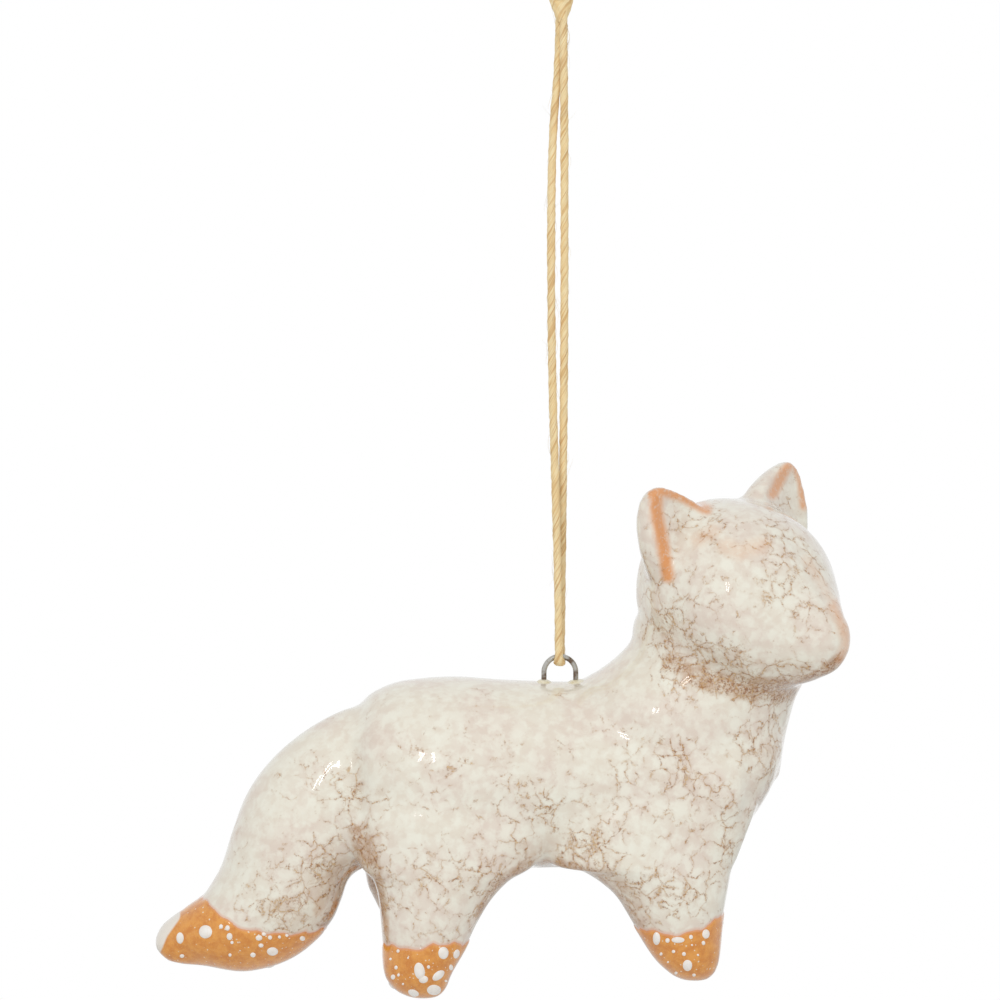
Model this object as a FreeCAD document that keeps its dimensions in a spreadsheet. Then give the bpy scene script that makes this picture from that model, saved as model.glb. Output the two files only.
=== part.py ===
"""Hanging ceramic fox on a loop of twine. Millimetres, +Z up.

The origin is the place under the knot where the two strands of the loop part, which is where a hook or a
twig carries the ornament. +X is the way the fox walks and +Y is the fox's left side.
"""
import FreeCAD, Part
import math
import os

Vector = FreeCAD.Vector
Rotation = FreeCAD.Rotation
ALONG_X = Vector(1, 0, 0)
ALONG_Y = Vector(0, 1, 0)
ALONG_Z = Vector(0, 0, 1)
NOWHERE = Vector(0, 0, 0)

# Driving dimensions: millimetres, or degrees where the name ends in turn or tilt
SIZES = {
    "twine_diameter": 1.1,
    "hang_length": 93.4,
    "knot_width": 3.8,
    "knot_height": 4.6,
    "knot_pitch": 1.55,
    "cut_end_length": 8.0,
    "bight_gap": 0.15,
    "bight_rise": 2.4,
    "bight_turn": 14.0,
    "bight_lead": 5.0,
    "eye_wire": 0.75,
    "eye_radius": 2.3,
    "eye_stand": 1.55,
    "eye_leg_length": 6.0,
    "socket_gap": 0.05,
    "collar_radius": 0.9,
    "collar_sink": 0.35,
    "torso_length": 64.0,
    "torso_height": 27.3,
    "torso_width": 28.0,
    "neck_depth": 24.0,
    "neck_height": 12.0,
    "neck_width": 23.0,
    "neck_place": 10.9,
    "head_length": 33.0,
    "head_height": 26.6,
    "head_width": 27.6,
    "head_forward": 25.3,
    "head_rise": 13.2,
    "head_side": 1.5,
    "head_turn": 45.0,
    "head_tilt": 3.4,
    "ear_height": 17.0,
    "ear_width": 14.0,
    "ear_thickness": 6.4,
    "ear_cup": 1.6,
    "ear_rim": 1.5,
    "ear_spread": 23.8,
    "ear_back": 1.8,
    "ear_turn": 6.0,
    "leg_spread": 17.5,
    "leg_width": 12.0,
    "hind_leg_length": 44.4,
    "hind_leg_depth": 12.1,
    "hind_leg_back": 20.0,
    "front_leg_length": 42.0,
    "front_leg_depth": 11.1,
    "front_leg_forward": 19.0,
    "tail_reach": 28.2,
    "tail_drop": 33.1,
    "tail_width": 17.0,
    "tail_place": 29.9,
    "tail_root_drop": 8.6,
    "glaze_thickness": 0.25,
    "hind_dip_height": 7.9,
    "front_dip_height": 8.0,
    "hind_dip_tilt": 2.0,
    "front_dip_tilt": 8.0,
    "tail_dip_height": 6.0,
    "tail_dip_tilt": 5.0,
    "overrun": 30.0,
}

# Torso ovals from rump to chest: place from the eye along the length, top and bottom below the back, half width
TORSO_SHARES = [
    (-0.479, 0.30, 0.62, 0.35),
    (-0.456, 0.13, 0.80, 0.62),
    (-0.410, 0.03, 0.92, 0.80),
    (-0.340, -0.02, 1.00, 0.93),
    (-0.240, -0.035, 1.02, 1.00),
    (-0.120, -0.015, 0.99, 0.97),
    (0.060, 0.00, 0.985, 0.93),
    (0.236, -0.01, 1.02, 0.97),
    (0.337, 0.02, 1.00, 0.95),
    (0.416, 0.07, 0.78, 0.80),
    (0.468, 0.13, 0.60, 0.60),
    (0.498, 0.22, 0.42, 0.35),
]

# Neck ovals from the shoulders up: back edge and front edge, each as along and up, then half width
NECK_SHARES = [
    (-0.46, -0.60, 0.86, -1.15, 1.10),
    (-0.34, -0.02, 0.90, -0.62, 1.10),
    (-0.22, 0.14, 0.93, -0.38, 1.06),
    (-0.11, 0.31, 0.97, -0.18, 1.02),
    (-0.03, 0.48, 1.01, -0.02, 1.00),
    (-0.01, 0.70, 1.03, 0.18, 0.98),
    (0.02, 0.92, 0.98, 0.55, 0.92),
]

# Head ovals from the back of the skull to the nose: place, height of the middle, half height, half width
HEAD_SHARES = [
    (-0.395, 0.00, 0.30, 0.30),
    (-0.360, 0.00, 0.62, 0.62),
    (-0.260, 0.01, 0.88, 0.86),
    (-0.070, 0.01, 1.00, 1.00),
    (0.110, -0.01, 0.98, 1.00),
    (0.250, -0.05, 0.91, 0.89),
    (0.360, -0.10, 0.76, 0.68),
    (0.460, -0.17, 0.54, 0.455),
    (0.540, -0.21, 0.37, 0.29),
    (0.588, -0.22, 0.21, 0.18),
    (0.606, -0.22, 0.09, 0.08),
]

# Ear ovals from the skull to the tip: height, outward lean, half width, half thickness
EAR_SHARES = [
    (0.00, -0.08, 0.78, 1.00),
    (0.30, -0.06, 0.84, 1.04),
    (0.55, -0.03, 0.86, 0.92),
    (0.76, 0.01, 0.82, 0.72),
    (0.89, 0.06, 0.64, 0.50),
    (0.97, 0.13, 0.32, 0.28),
]

# Leg ovals from the sole up: height, back edge, front edge, half width, inward shift of the middle
HIND_LEG_SHARES = [
    (0.000, -0.14, 0.11, 0.16, 0.00),
    (0.011, -0.24, 0.16, 0.34, 0.00),
    (0.035, -0.36, 0.22, 0.58, 0.00),
    (0.083, -0.45, 0.29, 0.80, 0.00),
    (0.162, -0.47, 0.46, 0.92, 0.00),
    (0.245, -0.50, 0.62, 1.01, 0.00),
    (0.309, -0.53, 0.76, 1.07, 0.01),
    (0.373, -0.60, 0.97, 1.14, 0.03),
    (0.436, -0.78, 1.33, 1.20, 0.05),
    (0.541, -0.92, 1.60, 1.24, 0.08),
    (0.660, -0.74, 1.10, 1.10, 0.12),
    (0.750, -0.50, 0.66, 0.75, 0.16),
]
FRONT_LEG_SHARES = [
    (0.000, -0.12, 0.12, 0.16, 0.00),
    (0.010, -0.23, 0.18, 0.34, 0.00),
    (0.033, -0.36, 0.25, 0.58, 0.00),
    (0.081, -0.55, 0.29, 0.80, 0.00),
    (0.198, -0.84, 0.33, 0.97, 0.00),
    (0.292, -1.06, 0.38, 1.05, 0.00),
    (0.340, -1.25, 0.41, 1.09, 0.01),
    (0.385, -1.50, 0.44, 1.14, 0.02),
    (0.436, -1.86, 0.53, 1.18, 0.04),
    (0.537, -1.90, 0.70, 1.18, 0.07),
    (0.638, -1.20, 0.80, 1.05, 0.10),
    (0.730, -0.70, 0.74, 0.75, 0.14),
]

# Tail ovals from the rump to the tip: outer edge and inner edge, each as back and down, then half width
TAIL_SHARES = [
    (-0.17, -0.21, -0.30, 0.255, 0.74),
    (0.04, -0.17, -0.26, 0.255, 0.80),
    (0.255, -0.07, -0.20, 0.31, 0.87),
    (0.437, 0.07, -0.16, 0.42, 0.95),
    (0.557, 0.23, -0.075, 0.53, 1.00),
    (0.627, 0.387, 0.015, 0.58, 1.00),
    (0.685, 0.537, 0.06, 0.68, 0.98),
    (0.765, 0.65, 0.11, 0.775, 0.93),
    (0.855, 0.715, 0.275, 0.912, 0.82),
    (0.935, 0.765, 0.54, 0.99, 0.60),
    (0.987, 0.805, 0.775, 0.965, 0.36),
    (1.015, 0.85, 0.955, 0.935, 0.16),
]

# The twine's route in millimetres, without its ends: down the left strand, and up the right one
LEFT_ROUTE = [
    (0.00, 0.60, 1.6),
    (-0.10, 0.52, -7.0),
    (-1.28, 0.04, -19.0),
    (-1.30, -0.10, -48.0),
    (-0.56, -0.78, -73.0),
]
RIGHT_ROUTE = [
    (0.44, 0.80, -73.0),
    (0.64, 0.10, -48.0),
    (0.64, -0.10, -19.0),
    (0.46, -0.54, -7.0),
    (0.42, -0.60, 1.6),
]

OVAL_SIDES = 20
ARC_RUN_SHARE = 0.45
CUT_END_LEAN_SHARE = 0.28
CUT_END_SPREAD_SHARE = 0.6
# Core of the knot from the strands to the cut ends: height and half width
KNOT_CORE_SHARES = [(0.0, 0.55), (0.12, 0.86), (0.35, 1.0), (0.65, 1.0), (0.88, 0.86), (1.0, 0.60)]
KNOT_TURNS = 2
KNOT_TURN_STEPS = 12
FOOT_OVALS = 7
TAIL_TIP_OVALS = 7


def make_sheet(doc):
    """The spreadsheet that holds every driving dimension under its own name."""
    sheet = doc.addObject("Spreadsheet::Sheet", "Sizes")
    for row, (name, value) in enumerate(SIZES.items(), 1):
        sheet.set(f"A{row}", name)
        sheet.set(f"B{row}", str(value))
        sheet.setAlias(f"B{row}", name)
    doc.recompute()
    return sheet


def add(doc, kind, label, **sizes):
    """A document object whose properties are bound to expressions on the sheet."""
    thing = doc.addObject(kind, label)
    thing.Label = label
    for name, expression in sizes.items():
        thing.setExpression(name.replace("__", "."), expression)
    return thing


def hold(doc, label, shape, placement=None):
    """A document object that holds one shape and its place."""
    thing = doc.addObject("Part::Feature", label)
    thing.Label = label
    thing.Shape = shape
    thing.Placement = placement or FreeCAD.Placement()
    return thing


def joined(doc, label, pieces):
    """The union of some document objects."""
    union = doc.addObject("Part::MultiFuse", label)
    union.Label = label
    union.Shapes = pieces
    return union


def less(doc, label, base, tool):
    """What is left of base once tool is taken away."""
    cut = doc.addObject("Part::Cut", label)
    cut.Label = label
    cut.Base = base
    cut.Tool = tool
    return cut


def oval(middle, first, second):
    """The corners of a many-sided oval about middle, whose half axes are the vectors first and second."""
    turns = [2 * math.pi * step / OVAL_SIDES for step in range(OVAL_SIDES)]
    return [middle + first * math.cos(turn) + second * math.sin(turn) for turn in turns]


def facet(corners):
    """A flat face between its corners."""
    return Part.Face(Part.makePolygon(corners + corners[:1]))


def skin(ovals):
    """A closed solid of flat facets stretched over a row of ovals."""
    facets = [facet(ovals[0]), facet(ovals[-1])]
    for lower, upper in zip(ovals, ovals[1:]):
        for step in range(len(lower)):
            beyond = (step + 1) % len(lower)
            facets.append(facet([lower[step], lower[beyond], upper[beyond]]))
            facets.append(facet([lower[step], upper[beyond], upper[step]]))
    shell = Part.makeShell(facets)
    shell.sewShape()
    solid = Part.makeSolid(shell)
    if solid.Volume < 0:
        solid.reverse()
    return solid


def edge_pair_oval(first_edge, second_edge, half_width):
    """An oval square to the side view that passes through two points of the outline."""
    return oval((first_edge + second_edge) / 2, (second_edge - first_edge) / 2, ALONG_Y * half_width)


def torso_shape(size):
    ovals = []
    for place, top, bottom, side in TORSO_SHARES:
        middle = Vector(place * size("torso_length"), 0, -(top + bottom) / 2 * size("torso_height"))
        half_height = (bottom - top) / 2 * size("torso_height")
        ovals.append(oval(middle, ALONG_Y * side * size("torso_width") / 2, ALONG_Z * half_height))
    return skin(ovals)


def neck_shape(size):
    ovals = []
    for back, back_up, front, front_up, side in NECK_SHARES:
        back_edge = Vector(back * size("neck_depth"), 0, back_up * size("neck_height"))
        front_edge = Vector(front * size("neck_depth"), 0, front_up * size("neck_height"))
        ovals.append(edge_pair_oval(back_edge, front_edge, side * size("neck_width") / 2))
    return skin(ovals)


def head_shape(size):
    """The head looks along +X here; its placement turns it to the fox's right."""
    ovals = []
    for place, rise, half_height, half_width in HEAD_SHARES:
        middle = Vector(place * size("head_length"), 0, rise * size("head_height"))
        across = ALONG_Y * half_width * size("head_width") / 2
        ovals.append(oval(middle, across, ALONG_Z * half_height * size("head_height") / 2))
    return skin(ovals)


def ear_shape(height, width, thickness):
    """One left ear, or the hollow in it, about its own root, with its opening towards +X."""
    ovals = []
    for rise, lean, half_width, half_thickness in EAR_SHARES:
        middle = Vector(0, lean * width, rise * height)
        ovals.append(oval(middle, ALONG_X * half_thickness * thickness / 2, ALONG_Y * half_width * width / 2))
    return skin(ovals)


def leg_ovals(size, shares, length, depth, coat):
    """Level ovals of one left leg about the middle of its sole; a coat of glaze widens them all round."""
    ovals = []
    for height, back, front, side, inward in shares:
        middle = Vector((back + front) / 2 * depth, -inward * size("leg_spread"), height * length)
        if not ovals:
            middle -= ALONG_Z * coat
        along = ALONG_X * ((front - back) / 2 * depth + coat)
        ovals.append(oval(middle, along, ALONG_Y * (side * size("leg_width") / 2 + coat)))
    return ovals


def tail_ovals(size, coat):
    """Ovals of the tail about its root; a coat of glaze widens them all round."""
    ovals = []
    for outer_back, outer_down, inner_back, inner_down, side in TAIL_SHARES:
        outer = Vector(-outer_back * size("tail_reach"), 0, -outer_down * size("tail_drop"))
        inner = Vector(-inner_back * size("tail_reach"), 0, -inner_down * size("tail_drop"))
        outward = (outer - inner).normalize() * coat
        half_width = side * size("tail_width") / 2 + coat
        ovals.append(edge_pair_oval(outer + outward, inner - outward, half_width))
    return ovals


def leg_rows(size):
    """Each leg: its name, its table, length, depth, place along the fox, side and how high its dip reaches."""
    rows = []
    for end, shares, along in (("hind", HIND_LEG_SHARES, -size("hind_leg_back")),
                               ("front", FRONT_LEG_SHARES, size("front_leg_forward"))):
        for name, side in (("left", 1), ("right", -1)):
            rows.append((end, name, shares, size(f"{end}_leg_length"), size(f"{end}_leg_depth"), along, side))
    return rows


def to_side(solid, side):
    """A solid modelled on the left, mirrored where it belongs on the right."""
    return solid if side > 0 else solid.mirror(NOWHERE, ALONG_Y)


def below(size, solid, height, tilt):
    """The part of a solid under a plane at that height, tilted about Y."""
    reach = size("overrun")
    keeper = Part.makeBox(2 * reach, 2 * reach, reach, Vector(-reach, -reach, -reach))
    keeper.rotate(NOWHERE, ALONG_Y, tilt)
    keeper.translate(ALONG_Z * height)
    return solid.common(keeper)


def make_forms(doc, size, back):
    """The nine forms of the casting, in place."""
    turn = Rotation(ALONG_Y, -size("head_tilt")) * Rotation(ALONG_Z, -size("head_turn"))
    head_place = FreeCAD.Placement(Vector(size("head_forward"), -size("head_side"), back + size("head_rise")), turn)
    forms = [
        hold(doc, "torso_form", torso_shape(size), FreeCAD.Placement(Vector(0, 0, back), Rotation())),
        hold(doc, "neck_form", neck_shape(size),
             FreeCAD.Placement(Vector(size("neck_place"), 0, back), Rotation())),
        hold(doc, "head_form", head_shape(size), head_place),
    ]
    cup_width = size("ear_width") - 2 * size("ear_rim")
    for name, side in (("left", 1), ("right", -1)):
        ear = ear_shape(size("ear_height"), size("ear_width"), size("ear_thickness"))
        cup = ear_shape(size("ear_height") - size("ear_rim"), cup_width, size("ear_thickness"))
        cup.translate(ALONG_X * (size("ear_thickness") - size("ear_cup")))
        root = Vector(-size("ear_back"), side * size("ear_spread") / 2, 0)
        ear_place = head_place * FreeCAD.Placement(root, Rotation(ALONG_Z, side * size("ear_turn")))
        forms.append(hold(doc, f"{name}_ear_form", to_side(ear.cut(cup), side), ear_place))
    for end, name, shares, length, depth, along, side in leg_rows(size):
        leg = to_side(skin(leg_ovals(size, shares, length, depth, 0)), side)
        place = FreeCAD.Placement(Vector(along, side * size("leg_spread") / 2, back - length), Rotation())
        forms.append(hold(doc, f"{end}_{name}_leg_form", leg, place))
    tail_place = FreeCAD.Placement(Vector(-size("tail_place"), 0, back - size("tail_root_drop")), Rotation())
    forms.append(hold(doc, "tail_form", skin(tail_ovals(size, 0)), tail_place))
    return forms


def make_casting(doc, size, back):
    """The fired fox with a socket and a small collar of glaze for each leg of the eye."""
    forms = make_forms(doc, size, back)
    sockets = []
    for name, sign in (("front", ""), ("rear", "-")):
        collar = add(doc, "Part::Sphere", f"{name}_collar", Radius="Sizes.collar_radius",
                     Placement__Base__x=f"{sign}Sizes.eye_radius",
                     Placement__Base__z="-Sizes.hang_length - Sizes.eye_radius - Sizes.eye_stand - Sizes.collar_sink")
        socket = add(doc, "Part::Cylinder", f"{name}_socket",
                     Radius="Sizes.eye_wire / 2 + Sizes.socket_gap",
                     Height="Sizes.eye_stand + Sizes.eye_leg_length + Sizes.socket_gap",
                     Placement__Base__x=f"{sign}Sizes.eye_radius",
                     Placement__Base__z="-Sizes.hang_length - Sizes.eye_radius - Sizes.eye_stand"
                                        " - Sizes.eye_leg_length - Sizes.socket_gap")
        forms.append(collar)
        sockets.append(socket)
    return less(doc, "ceramic_casting", joined(doc, "casting_form", forms), joined(doc, "sockets", sockets))


def coat(size, ovals, coated_ovals, height, tilt):
    """A dip of glaze: what a coated form has outside the bare one, under the dip's edge."""
    return below(size, skin(coated_ovals).cut(skin(ovals)), height, tilt)


def make_foot_dips(doc, size, back):
    dips = []
    for end, name, shares, length, depth, along, side in leg_rows(size):
        foot = shares[:FOOT_OVALS]
        bare = leg_ovals(size, foot, length, depth, 0)
        coated = leg_ovals(size, foot, length, depth, size("glaze_thickness"))
        dip = coat(size, bare, coated, size(f"{end}_dip_height"), -size(f"{end}_dip_tilt"))
        place = FreeCAD.Placement(Vector(along, side * size("leg_spread") / 2, back - length), Rotation())
        dips.append(hold(doc, f"amber_glaze_{end}_{name}", to_side(dip, side), place))
    return dips


def tail_place_of(size, back):
    return Vector(-size("tail_place"), 0, back - size("tail_root_drop"))


def make_tail_dip(doc, size, back):
    bare = tail_ovals(size, 0)[-TAIL_TIP_OVALS:]
    coated = tail_ovals(size, size("glaze_thickness"))[-TAIL_TIP_OVALS:]
    height = size("tail_dip_height") - size("tail_drop")
    dip = coat(size, bare, coated, height, size("tail_dip_tilt"))
    place = FreeCAD.Placement(tail_place_of(size, back), Rotation())
    return hold(doc, "amber_glaze_tail", dip, place)


def make_arch(doc, label, radius, wire, rise, placement):
    """Half a ring over two straight legs that run down; the sizes are expressions on the sheet."""
    ring = add(doc, "Part::Torus", f"{label}_ring", Radius1=radius, Radius2=f"({wire}) / 2")
    ring.Angle3 = 180
    ring.Placement = FreeCAD.Placement(NOWHERE, Rotation(ALONG_X, 90))
    pieces = [ring]
    for name, sign in (("front", ""), ("rear", "-")):
        leg = add(doc, "Part::Cylinder", f"{label}_{name}_leg", Radius=f"({wire}) / 2", Height=rise,
                  Placement__Base__x=f"{sign}({radius})", Placement__Base__z=f"-({rise})")
        pieces.append(leg)
    arch = joined(doc, label, pieces)
    arch.Placement = placement
    return arch


def make_eye(doc, size):
    """The wire eye: half a ring above the back, with both legs fired into the casting."""
    place = FreeCAD.Placement(Vector(0, 0, -size("hang_length") - size("eye_radius")), Rotation())
    return make_arch(doc, "wire_eye", "Sizes.eye_radius", "Sizes.eye_wire",
                     "Sizes.eye_stand + Sizes.eye_leg_length", place)


def make_bight(doc, size):
    """The turn of the twine round the top of the eye, upside down and a little askew."""
    turn = Rotation(ALONG_Z, 90 - size("bight_turn")) * Rotation(ALONG_X, 180)
    place = FreeCAD.Placement(Vector(0, 0, -size("hang_length")), turn)
    return make_arch(doc, "twine_bight", "Sizes.eye_wire / 2 + Sizes.bight_gap + Sizes.twine_diameter / 2",
                     "Sizes.twine_diameter", "Sizes.bight_rise", place)


def make_knot(doc, size):
    """The overhand knot: two turns of twine wound round a core, cut flat where the strands enter it."""
    half_width = size("knot_width") / 2
    height = size("knot_height")
    core = []
    for rise, share in KNOT_CORE_SHARES:
        radius = share * (half_width - size("twine_diameter") / 3)
        core.append(oval(ALONG_Z * rise * height, ALONG_X * radius, ALONG_Y * radius))
    wound = []
    steps = KNOT_TURNS * KNOT_TURN_STEPS
    for step in range(steps + 1):
        angle = 2 * math.pi * step / KNOT_TURN_STEPS
        outward = Vector(math.cos(angle), math.sin(angle), 0)
        rise = height / 2 + (step / steps - 1 / 2) * KNOT_TURNS * size("knot_pitch")
        middle = outward * (half_width - size("twine_diameter") / 2) + ALONG_Z * rise
        wound.append(oval(middle, outward * (size("twine_diameter") / 2), ALONG_Z * (size("twine_diameter") / 2)))
    pieces = [hold(doc, "knot_core", skin(core)), hold(doc, "knot_turns", skin(wound))]
    return joined(doc, "twine_knot", pieces)


def rounded_path(points):
    """Straight runs joined by tangent arcs through a route, with the radius of each arc."""
    edges = []
    radii = []
    start = points[0]
    for before, corner, after in zip(points, points[1:], points[2:]):
        arriving = (corner - before).normalize()
        leaving = (after - corner).normalize()
        half_turn = arriving.getAngle(leaving) / 2
        setback = ARC_RUN_SHARE * min((corner - before).Length, (after - corner).Length)
        radii.append(setback / math.tan(half_turn))
        arc_start = corner - arriving * setback
        arc_end = corner + leaving * setback
        inward = (leaving - arriving).normalize()
        bulge = radii[-1] / math.cos(half_turn) - radii[-1]
        edges.append(Part.LineSegment(start, arc_start).toShape())
        edges.append(Part.Arc(arc_start, corner + inward * bulge, arc_end).toShape())
        start = arc_end
    edges.append(Part.LineSegment(start, points[-1]).toShape())
    return Part.Wire(edges), radii


def tube(label, points, diameter):
    """A round cord along a route; prints its arcs and how its volume compares with section times length."""
    path, radii = rounded_path(points)
    section = Part.Wire(Part.makeCircle(diameter / 2, points[0], points[1] - points[0]))
    solid = path.makePipeShell([section], True, False)
    expected = math.pi * diameter ** 2 / 4 * path.Length
    print(label, "radii", [round(radius, 1) for radius in radii], "volume share", round(solid.Volume / expected, 4))
    return solid


def make_strands(doc, size, knot):
    """The two taut strands from the knot down to the bight, trimmed where they enter the knot."""
    reach = size("eye_wire") / 2 + size("bight_gap") + size("twine_diameter") / 2
    lean = math.radians(size("bight_turn"))
    end_height = size("bight_rise") - size("hang_length")
    strands = []
    for name, route, side in (("left", LEFT_ROUTE, -1), ("right", RIGHT_ROUTE[::-1], 1)):
        foot = Vector(side * reach * math.sin(lean), side * reach * math.cos(lean), end_height)
        points = [Vector(*place) for place in route] + [foot + ALONG_Z * size("bight_lead"), foot]
        label = f"twine_{name}_strand"
        whole = hold(doc, f"{label}_whole", tube(label, points, size("twine_diameter")))
        strands.append(less(doc, label, whole, knot))
    return strands


def make_cut_ends(doc, size, knot):
    """The two short ends of the twine that stand out of the top of the knot."""
    ends = []
    for name, side in (("left", -1), ("right", 1)):
        lean = Vector(side * CUT_END_LEAN_SHARE, 0, 1).normalize()
        label = f"twine_end_{name}"
        whole = add(doc, "Part::Cylinder", f"{label}_whole", Radius="Sizes.twine_diameter / 2",
                    Height="Sizes.cut_end_length + Sizes.knot_height / 2")
        root = Vector(side * size("twine_diameter") * CUT_END_SPREAD_SHARE, 0, size("knot_height") / 2)
        whole.Placement = FreeCAD.Placement(root, Rotation(ALONG_Z, lean))
        ends.append(less(doc, label, whole, knot))
    return ends


def main():
    doc = FreeCAD.newDocument("fox")
    sheet = make_sheet(doc)

    def size(name):
        return float(sheet.get(name))

    back = -size("hang_length") - size("eye_radius") - size("eye_stand")
    knot = make_knot(doc, size)
    doc.recompute()
    nodes = [make_casting(doc, size, back), make_eye(doc, size), make_bight(doc, size), knot]
    nodes += make_foot_dips(doc, size, back)
    nodes.append(make_tail_dip(doc, size, back))
    nodes += make_strands(doc, size, knot)
    nodes += make_cut_ends(doc, size, knot)
    doc.recompute()

    for thing in doc.Objects:
        if "Invalid" in thing.State or "Error" in thing.State:
            raise RuntimeError(f"{thing.Label} failed: {thing.State}")
    for node in nodes:
        if node.Shape.isNull() or not node.Shape.isValid() or not node.Shape.Solids:
            raise RuntimeError(f"{node.Label} has no valid solid")
    os.makedirs("parts", exist_ok=True)
    for node in nodes:
        node.Shape.exportStep(f"parts/{node.Label}.step")
        print(node.Label, len(node.Shape.Solids), "solids", round(node.Shape.Volume, 2), "mm3")
    centre = nodes[0].Shape.Solids[0].CenterOfMass
    print("casting's centre of mass", [round(value, 2) for value in centre])


main()
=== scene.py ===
"""Hanging ceramic fox on a loop of twine, in metres; the clay forms are worked in millimetres."""
import math
import random
import bpy
import numpy as np
from mathutils import Matrix, Vector, noise
from mathutils.bvhtree import BVHTree


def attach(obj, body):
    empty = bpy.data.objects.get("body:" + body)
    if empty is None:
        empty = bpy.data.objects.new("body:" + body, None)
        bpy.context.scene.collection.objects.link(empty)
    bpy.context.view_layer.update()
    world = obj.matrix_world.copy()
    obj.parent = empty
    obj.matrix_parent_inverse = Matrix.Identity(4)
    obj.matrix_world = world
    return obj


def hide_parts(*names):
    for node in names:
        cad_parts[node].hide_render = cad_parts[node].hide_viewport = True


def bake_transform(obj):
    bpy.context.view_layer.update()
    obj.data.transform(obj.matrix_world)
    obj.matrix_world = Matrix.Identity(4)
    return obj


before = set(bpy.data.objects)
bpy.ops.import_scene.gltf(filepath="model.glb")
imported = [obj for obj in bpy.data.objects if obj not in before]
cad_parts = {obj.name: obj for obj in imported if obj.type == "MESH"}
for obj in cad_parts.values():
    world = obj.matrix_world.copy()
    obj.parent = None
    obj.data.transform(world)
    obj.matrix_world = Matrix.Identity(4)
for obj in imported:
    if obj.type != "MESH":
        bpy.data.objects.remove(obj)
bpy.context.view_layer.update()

MM = 0.001

# The photograph's view: where its camera stands, its scale, and the pixel on which the origin falls
VIEW_TURN = math.radians(-3.8)
VIEW_TILT = math.radians(8.0)
PIXEL_MM = 0.1439
ORIGIN_PIXEL = (560.0, 14.0)
IMAGE_MIDDLE = 500.0
LENS = 600.0
SENSOR = 36.0
# How far beyond the origin the fox stands from the camera, in millimetres; the scale holds there
FOX_DEPTH = 7.5

right = Vector((math.cos(VIEW_TURN), math.sin(VIEW_TURN), 0))
forward = Vector((-math.sin(VIEW_TURN) * math.cos(VIEW_TILT),
                  math.cos(VIEW_TURN) * math.cos(VIEW_TILT), -math.sin(VIEW_TILT)))
up = right.cross(forward)
distance_mm = 1000 * PIXEL_MM * LENS / SENSOR
aim_mm = (right * (IMAGE_MIDDLE - ORIGIN_PIXEL[0]) * PIXEL_MM
          - up * (IMAGE_MIDDLE - ORIGIN_PIXEL[1]) * PIXEL_MM)
eye_mm = aim_mm + forward * (FOX_DEPTH - distance_mm)


def linked(name, data):
    """A new object in the scene that holds the data."""
    made = bpy.data.objects.new(name, data)
    bpy.context.collection.objects.link(made)
    return made


def evaluated_mesh(holder):
    """The mesh that an object's curve or modifiers come to; the object itself goes."""
    bpy.context.view_layer.update()
    mesh = bpy.data.meshes.new_from_object(holder.evaluated_get(bpy.context.evaluated_depsgraph_get()))
    bpy.data.objects.remove(holder)
    return mesh


def unit(values):
    return np.clip(values, 0, 1)


def make_camera():
    data = bpy.data.cameras.new("camera")
    data.lens = LENS
    data.sensor_width = SENSOR
    data.clip_start = 0.05
    data.clip_end = 20
    camera = linked("camera", data)
    turn = Matrix((right, up, -forward)).transposed().to_4x4()
    camera.matrix_world = Matrix.Translation(eye_mm * MM) @ turn
    bpy.context.scene.camera = camera


def pixel_ray(x, y):
    """Where a pixel looks from, and in which direction, in millimetres."""
    aim = forward * distance_mm + right * (x - IMAGE_MIDDLE) * PIXEL_MM + up * (IMAGE_MIDDLE - y) * PIXEL_MM
    return eye_mm, aim.normalized()


def to_pixels(points):
    """The pixels on which an array of points in millimetres falls."""
    away = points - np.array(eye_mm)
    depth = away @ np.array(forward)
    x = IMAGE_MIDDLE + (away @ np.array(right)) * distance_mm / depth / PIXEL_MM
    y = IMAGE_MIDDLE - (away @ np.array(up)) * distance_mm / depth / PIXEL_MM
    return np.stack([x, y], 1)


TWINE_DIAMETER = 0.0011
TWINE_SIDES = 24
CURVE_RESOLUTION = 24
# The length in which the twine's fibres wind round it once
LAY_LENGTH = 0.0062
# The height at which the bight is pressed flat on the wire
BIGHT_BOTTOM = -0.0943
FIBRE_RADIUS = 0.000022
HAIR_STEPS = 7
HAIR_TURNS = (0, 2.1, 4.2)

# The twine's route, from the knot down the left strand, round the wire and up the right strand
TWINE_ROUTE = [
    (0.0, 0.0006, 0.0016), (-0.0001, 0.00052, -0.007), (-0.00128, 0.00004, -0.019),
    (-0.0013, -0.0001, -0.048), (-0.00056, -0.00078, -0.073), (-0.00028, -0.00112, -0.086),
    (-0.00022, -0.00122, -0.0922), (-0.00022, -0.00122, -0.094), (0.0, 0.0, -0.09455),
    (0.00022, 0.00122, -0.094), (0.00022, 0.00122, -0.0922), (0.00028, 0.00112, -0.086),
    (0.00044, 0.0008, -0.073), (0.00064, 0.0001, -0.048), (0.00064, -0.0001, -0.019),
    (0.00046, -0.00054, -0.007), (0.00042, -0.0006, 0.0016),
]


def spline_points(name, route):
    """Points along the smooth curve that has the route as its control points."""
    curve = bpy.data.curves.new(name, "CURVE")
    curve.dimensions = "3D"
    spline = curve.splines.new("NURBS")
    spline.points.add(len(route) - 1)
    for point, place in zip(spline.points, route):
        point.co = (*place, 1)
    spline.order_u = 3
    spline.use_endpoint_u = True
    spline.resolution_u = CURVE_RESOLUTION
    mesh = evaluated_mesh(linked(name, curve))
    points = np.array([vertex.co for vertex in mesh.vertices])
    bpy.data.meshes.remove(mesh)
    keep = np.r_[True, np.linalg.norm(np.diff(points, axis=0), axis=1) > 1e-7]
    return points[keep]


def distance_along(points):
    """How far along a line each of its points lies."""
    return np.r_[0, np.cumsum(np.linalg.norm(np.diff(points, axis=0), axis=1))]


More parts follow.
